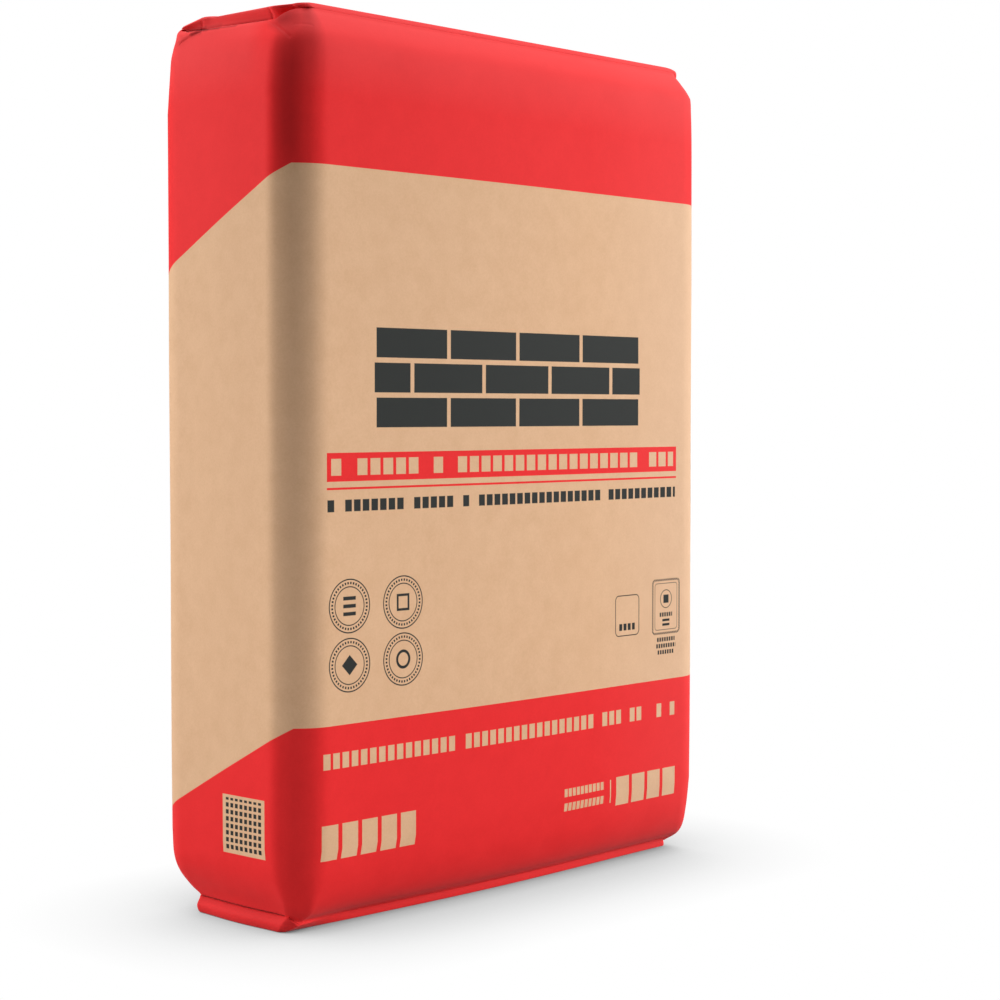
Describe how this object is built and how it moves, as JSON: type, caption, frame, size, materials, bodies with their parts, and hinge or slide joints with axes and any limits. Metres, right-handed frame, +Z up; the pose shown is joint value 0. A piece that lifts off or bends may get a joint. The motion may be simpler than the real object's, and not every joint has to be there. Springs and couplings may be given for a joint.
{
  "type": "cement bag",
  "caption": "Filled paper valve sack of cement standing on its block bottom, with printed bands, pasted end sheets and a corner valve sleeve.",
  "frame": {"origin": "middle of the base, on the surface that the sack stands on", "axes": "+Z up along the sack's height; the front panel faces -Y; X runs across the front panel, and the narrow panel with the valve faces -X"},
  "size_m": [0.3492, 0.1254, 0.5],
  "materials": {
    "printed_paper": "matt kraft paper with red print",
    "sheet_paper": "plain matt kraft paper",
    "valve_paper": "plain matt kraft paper"
  },
  "bodies": {
    "root": {"sack": "printed_paper", "bottom_sheet": "sheet_paper", "top_sheet": "sheet_paper", "valve_sleeve": "valve_paper"}
  },
  "joints": []
}
